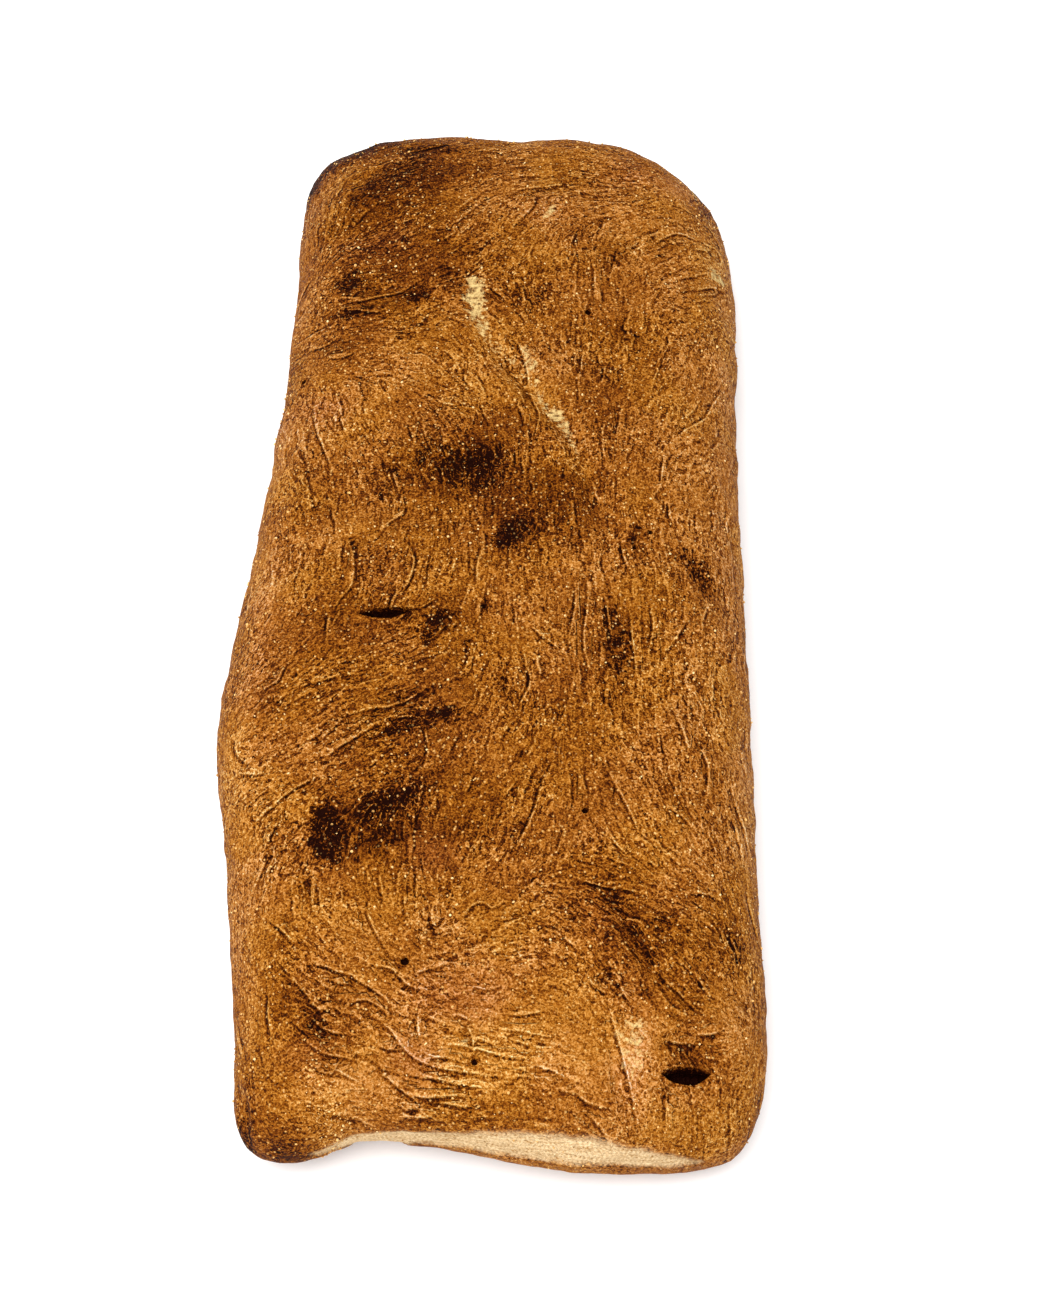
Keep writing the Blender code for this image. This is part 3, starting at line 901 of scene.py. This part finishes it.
def baked_colour(finish, settings, skin, marks):
    """The tones of the bake, with their tints and the meal sunk in the skin, and with painted light:
    highlights and shade on the wrinkles, threads, squiggles and pits, shade inside the tears, and a rosy
    sheen.
    """
    place, singed = skin.place, marks.singed
    cloud = (finish.grain(place, 11.0, 2.0, 0.55) - 0.5) * 3.4
    blot = (finish.grain(place, 34.0, 1.0) - 0.5) * 3.0
    rugged = finish.grain(place, 14.0, 1.0).between(0.36, 0.62) * 0.55 + 0.60
    way_back = finish.node("ShaderNodeSeparateXYZ", None, {0: place}, "Y")
    rugged = rugged * (0.82 + way_back.between(-128.0, -106.0) * 0.22)

    # The browning marks carry painted highlights too, and the painted sheen lightens the tone a little.
    tone = settings.bake + marks.browning + cloud * 0.06 + blot * 0.05 + marks.rose * 0.03
    tone = tone * (1.0 - singed * 0.94) - singed * 0.07 - marks.charred * 0.15
    tangle = skin.mottle * 0.04 + skin.speckle * 0.22 + skin.fine * skin.fibrous * 0.04
    tangle = tangle + skin.coarse * 0.025
    # Painted highlight and shade: light threads and squiggles with dark edges, and darker pits.
    tangle = tangle + (skin.thread * 0.135 + skin.squiggle * 0.14 - skin.pit * 0.13) * rugged
    # Painted highlight on each wrinkle's ridge and painted shade in its groove.
    tangle = tangle + marks.ridge * 0.27 - marks.groove * 0.29
    # Inside the slits and pricks the tone is painted dark, as the shade within them.
    tone = tone + tangle * (1.0 + singed * 0.65) - marks.tear * 0.6
    colour = finish.node("ShaderNodeValToRGB", {"stops": BAKE_STOPS}, {0: tone.clamped()})

    # Painted sheen: where light glances off the crust, its colour is tinted pale and rosy.
    colour = finish.mix(marks.rose * 0.8, colour, (*settings.rose, 1.0), "MULTIPLY")
    golden = finish.grain(place, 21.0, 1.0).between(0.40, 0.60)
    colour = finish.mix(golden * 0.85, colour, GOLDEN_TINT, "MULTIPLY")
    meal = (skin.meal * (1.0 - marks.tear) * (1.0 - singed * 0.7)).clamped()
    return finish.mix(meal, colour, (*settings.dust, 1.0))


def with_pale_dough(finish, settings, skin, marks, colour):
    """The baked colour with the creases' stretched dough, painted highlights on the far right rim and on the
    swell by the near slit, and the seam's torn dough in it.
    """
    streak = 0.56 + skin.fine * 0.50 + skin.weave * 0.60 + skin.curl * 0.50 + skin.speckle * 0.30
    # The pits are painted darker here, as shade.
    pale = finish.mix((streak - skin.pit * 0.45).clamped(), PALE_SHADOW, (*settings.cream, 1.0))
    frayed = skin.weave * 0.60 + skin.curl * 0.45 + skin.mottle * 0.25 + skin.speckle * 0.30
    stretched = (marks.cream + frayed * marks.cream.between(0.05, 0.4)).between(0.28, 1.00)
    colour = finish.mix(stretched, colour, pale)

    strand = (0.64 + skin.drawn * 0.75 + skin.speckle * 0.35 - skin.pit * 0.4).clamped()
    crumb = finish.mix(strand, CRUMB_SHADOW, (*settings.dough, 1.0))
    ragged = (skin.weave * 0.5 + skin.drawn * 0.3) * (marks.seam * (1.0 - marks.seam)) * 2.5
    return finish.mix((marks.seam + ragged).clamped() * (1.0 - marks.tear), colour, crumb)


def crust_finish(settings):
    """Toasted crust: tones of one bake, from char to cream, over fibres, blisters and wrinkles."""
    finish = Finish("toasted_crust")
    skin = skin_patterns(finish)
    marks = skin_marks(finish, skin)
    colour = with_pale_dough(finish, settings, skin, marks, baked_colour(finish, settings, skin, marks))
    height = skin.fine * skin.fibrous * 0.08 + skin.coarse * 0.10 + skin.mottle * 0.10 + skin.speckle * 0.10
    height = height + skin.thread * 0.08 + skin.squiggle * 0.08 - skin.pit * 0.14 + skin.meal * 0.10
    height = height + (marks.ridge * 0.30 - marks.groove * 0.34)
    bump = finish.node("ShaderNodeBump", None, {"Strength": 1.0, "Distance": MM, "Height": height})
    roughness = (0.60 + skin.speckle * 0.05 + marks.singed * 0.10 + marks.seam * 0.15).clamped()
    finish.shine(colour, roughness, bump, 0.02)
    return finish.material


def profile(value, middle, spread):
    """A soft bump of height 1 about the middle."""
    off = (value - middle) / spread
    return value.math("EXPONENT", -(off * off))


# ---- Semolina


def grain_pattern():
    """The points and faces of one grain: a small faceted pebble, longer than it is wide."""
    bpy.ops.object.select_all(action="DESELECT")
    bpy.ops.mesh.primitive_ico_sphere_add(subdivisions=1, radius=0.5)
    pebble = bpy.context.object
    bpy.ops.object.mode_set(mode="EDIT")
    bpy.ops.transform.resize(value=(1.0, 0.8, 0.7))
    bpy.ops.transform.vertex_random(offset=0.08, uniform=0.5, seed=3)
    bpy.ops.object.mode_set(mode="OBJECT")
    points = np.array([vertex.co[:] for vertex in pebble.data.vertices])
    faces = np.array([polygon.vertices[:] for polygon in pebble.data.polygons])
    bpy.data.objects.remove(pebble)
    return points, faces


def turn_at_random(random, count):
    """Rotation matrices that point every way alike."""
    w, x, y, z = random.normal(size=(4, count))
    size = np.sqrt(w * w + x * x + y * y + z * z)
    w, x, y, z = w / size, x / size, y / size, z / size
    rows = (
        (1 - 2 * (y * y + z * z), 2 * (x * y - w * z), 2 * (x * z + w * y)),
        (2 * (x * y + w * z), 1 - 2 * (x * x + z * z), 2 * (y * z - w * x)),
        (2 * (x * z - w * y), 2 * (y * z + w * x), 1 - 2 * (x * x + y * y)),
    )
    return np.moveaxis(np.array(rows), 2, 0)


def landing_places(crust, count, random):
    """Where grains stick: more of them where semolina drifted, and none under the loaf."""
    faces = crust.data.polygons
    centres, normals, areas = read(faces, "center"), read(faces, "normal"), read(faces, "area", 1)[:, 0]
    x, y, z = (centres / MM).T
    upward = normals[:, 2]
    clumps = 0.55 + 0.9 * np.clip(rough(centres / MM, 0.11, 2, 6), -0.5, 1)
    chance = areas * (1 + patches(x, y, SEMOLINA_DRIFTS)) * clumps * (0.25 + 0.75 * np.clip(upward, 0, 1))
    chance = np.where((upward > -0.3) & (z > 5), np.maximum(chance, 0), 0)
    torn = tear_rise(x, y)[1]
    chance *= (1 - torn) * (1 - 0.75 * np.clip(patches(x, y, CHARS, PERCENT), 0, 1))
    chosen = random.choice(len(centres), count, p=chance / chance.sum(), replace=False)
    centres, normals = centres[chosen], normals[chosen]
    strewn = random.normal(0, 0.3 * MM, centres.shape)
    strewn -= normals * np.sum(strewn * normals, axis=1)[:, None]
    seats = [crust.closest_point_on_mesh(Vector(place)) for place in centres + strewn]
    return np.array([seat[1] for seat in seats]), np.array([seat[2] for seat in seats])


def semolina_mesh(crust, settings):
    """All the grains as one mesh, with a tint for each."""
    random = np.random.default_rng(SEED + 1)
    points, faces = grain_pattern()
    places, normals = landing_places(crust, settings.count, random)
    share = random.random(settings.count) ** 2.6
    sizes = settings.smallest + (settings.largest - settings.smallest) * share
    turns = turn_at_random(random, settings.count)
    stretch = random.uniform(0.75, 1.15, (settings.count, 1, 3))
    grains = np.einsum("gij,gpj->gpi", turns, points[None] * stretch) * sizes[:, None, None]
    lift = normals * (sizes * random.uniform(0.0, 0.22, settings.count))[:, None]
    grains += (places + lift)[:, None, :]
    joined = faces[None] + (np.arange(settings.count) * len(points))[:, None, None]
    mesh = bpy.data.meshes.new("semolina_grains")
    mesh.from_pydata(grains.reshape(-1, 3).tolist(), [], joined.reshape(-1, 3).tolist())
    keep(mesh, "tint", np.repeat(random.random(settings.count), len(points)))
    return mesh


def semolina_finish(settings):
    """Hard golden grains, some of them toasted."""
    finish = Finish("semolina")
    tint = finish.attribute("tint")
    at = finish.node("ShaderNodeTexCoord", output="Object")
    mottle = finish.node("ShaderNodeTexNoise", None, {"Vector": at, "Scale": 3000.0, "Detail": 1.0})
    toasted = finish.mix(
        (tint + (mottle - 0.5) * 0.5).between(0.0, 0.75), (0.34, 0.135, 0.028, 1.0), (*settings.colour, 1.0)
    )
    pale = finish.mix(tint.between(0.80, 1.0), toasted, (0.92, 0.67, 0.31, 1.0))
    bump = finish.node("ShaderNodeBump", None, {"Strength": 0.4, "Distance": 0.05 * MM, "Height": mottle})
    finish.shine(pale, (0.45 + mottle * 0.2).clamped(), bump, 0.15)
    return finish.material


# ---- Operators


class LOAF_OT_crust(bpy.types.Operator):
    """Makes the loaf's skin from its solid"""

    bl_idname = "loaf.crust"
    bl_label = "Crust"

    def execute(self, context):
        settings = context.scene.loaf_crust
        crust = solid_copy(LOAF, "ciabatta_crust")
        finish_modifier("REMESH", mode="VOXEL", voxel_size=settings.cell)
        finish_modifier("SMOOTH", factor=0.5, iterations=5)
        thin_out_base(crust, kept=0.05)
        refine(crust, by_a_tear, times=2)
        shape_skin(crust, settings)
        choose_only(crust)
        bpy.ops.object.shade_smooth()
        crust.data.materials.append(crust_finish(settings))
        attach(crust, "root")
        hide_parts(LOAF)
        return {"FINISHED"}


class LOAF_OT_semolina(bpy.types.Operator):
    """Dusts the crust with semolina grains"""

    bl_idname = "loaf.semolina"
    bl_label = "Semolina"

    def execute(self, context):
        settings = context.scene.loaf_semolina
        mesh = semolina_mesh(bpy.data.objects["ciabatta_crust"], settings)
        grains = bpy.data.objects.new("semolina_grains", mesh)
        context.scene.collection.objects.link(grains)
        mesh.materials.append(semolina_finish(settings))
        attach(grains, "root")
        return {"FINISHED"}


class LOAF_OT_studio(bpy.types.Operator):
    """Sets the floor, the lights and the camera"""

    bl_idname = "loaf.studio"
    bl_label = "Studio"

    def execute(self, context):
        settings = context.scene.loaf_studio
        bpy.ops.object.select_all(action="DESELECT")
        bpy.ops.mesh.primitive_plane_add(size=settings.floor_size)
        floor = context.object
        floor.name = "floor"
        paper = Finish("white_paper")
        at = paper.node("ShaderNodeTexCoord", output="Object")
        tooth = paper.node("ShaderNodeTexNoise", None, {"Vector": at, "Scale": 900.0, "Detail": 2.0})
        bump = paper.node("ShaderNodeBump", None, {"Strength": 0.1, "Distance": 0.05 * MM, "Height": tooth})
        paper.shine((settings.floor_tone,) * 3 + (1.0,), 0.85, bump, 0.2, settings.floor_glow)
        floor.data.materials.append(paper.material)

        world = bpy.data.worlds.new("studio")
        world.use_nodes = True
        sky = world.node_tree.nodes["Background"]
        sky.inputs["Color"].default_value = (1.0, 1.0, 1.0, 1.0)
        sky.inputs["Strength"].default_value = settings.sky
        context.scene.world = world
        add_area_light("key", (-0.25, -0.35, 1.4), 1.3, settings.key)
        add_camera(settings)
        context.scene.view_settings.view_transform = "Standard"
        return {"FINISHED"}


def add_area_light(name, place, size, power):
    """A square soft light that points at the loaf."""
    bpy.ops.object.light_add(type="AREA", location=place)
    light = bpy.context.object
    light.name = name
    light.data.size, light.data.energy = size, power
    light.rotation_euler = (-Vector(place)).to_track_quat("-Z", "Y").to_euler()


def add_camera(settings):
    """The camera, which looks down along the loaf."""
    bpy.ops.object.camera_add()
    camera = bpy.context.object
    camera.data.lens = settings.lens / MM
    camera.data.sensor_width = 36.0
    turn = Matrix.Rotation(-settings.camera_turn, 4, "Z")
    tilt = Matrix.Rotation(math.pi / 2 - settings.camera_tilt, 4, "X")
    roll = Matrix.Rotation(settings.camera_roll, 4, "Z")
    camera.matrix_world = Matrix.Translation(settings.camera_place) @ turn @ tilt @ roll
    bpy.context.scene.camera = camera


class LOAF_PT_panel(bpy.types.Panel):
    """The loaf's steps and sizes"""

    bl_label = "Ciabatta loaf"
    bl_idname = "LOAF_PT_panel"
    bl_space_type = "VIEW_3D"
    bl_region_type = "UI"
    bl_category = "Loaf"

    def draw(self, context):
        for step in ("crust", "semolina", "studio"):
            box = self.layout.box()
            box.operator("loaf." + step)
            settings = getattr(context.scene, "loaf_" + step)
            for name in settings.__annotations__:
                box.prop(settings, name)


CLASSES = (
    CrustSettings, SemolinaSettings, StudioSettings,
    LOAF_OT_crust, LOAF_OT_semolina, LOAF_OT_studio, LOAF_PT_panel,
)


def register():
    for cls in CLASSES:
        bpy.utils.register_class(cls)
    bpy.types.Scene.loaf_crust = PointerProperty(type=CrustSettings)
    bpy.types.Scene.loaf_semolina = PointerProperty(type=SemolinaSettings)
    bpy.types.Scene.loaf_studio = PointerProperty(type=StudioSettings)


def unregister():
    del bpy.types.Scene.loaf_crust, bpy.types.Scene.loaf_semolina, bpy.types.Scene.loaf_studio
    for cls in reversed(CLASSES):
        bpy.utils.unregister_class(cls)


def main():
    register()
    bpy.ops.loaf.studio()
    bpy.ops.loaf.crust()
    bpy.ops.loaf.semolina()


if __name__ == "__main__":
    main()
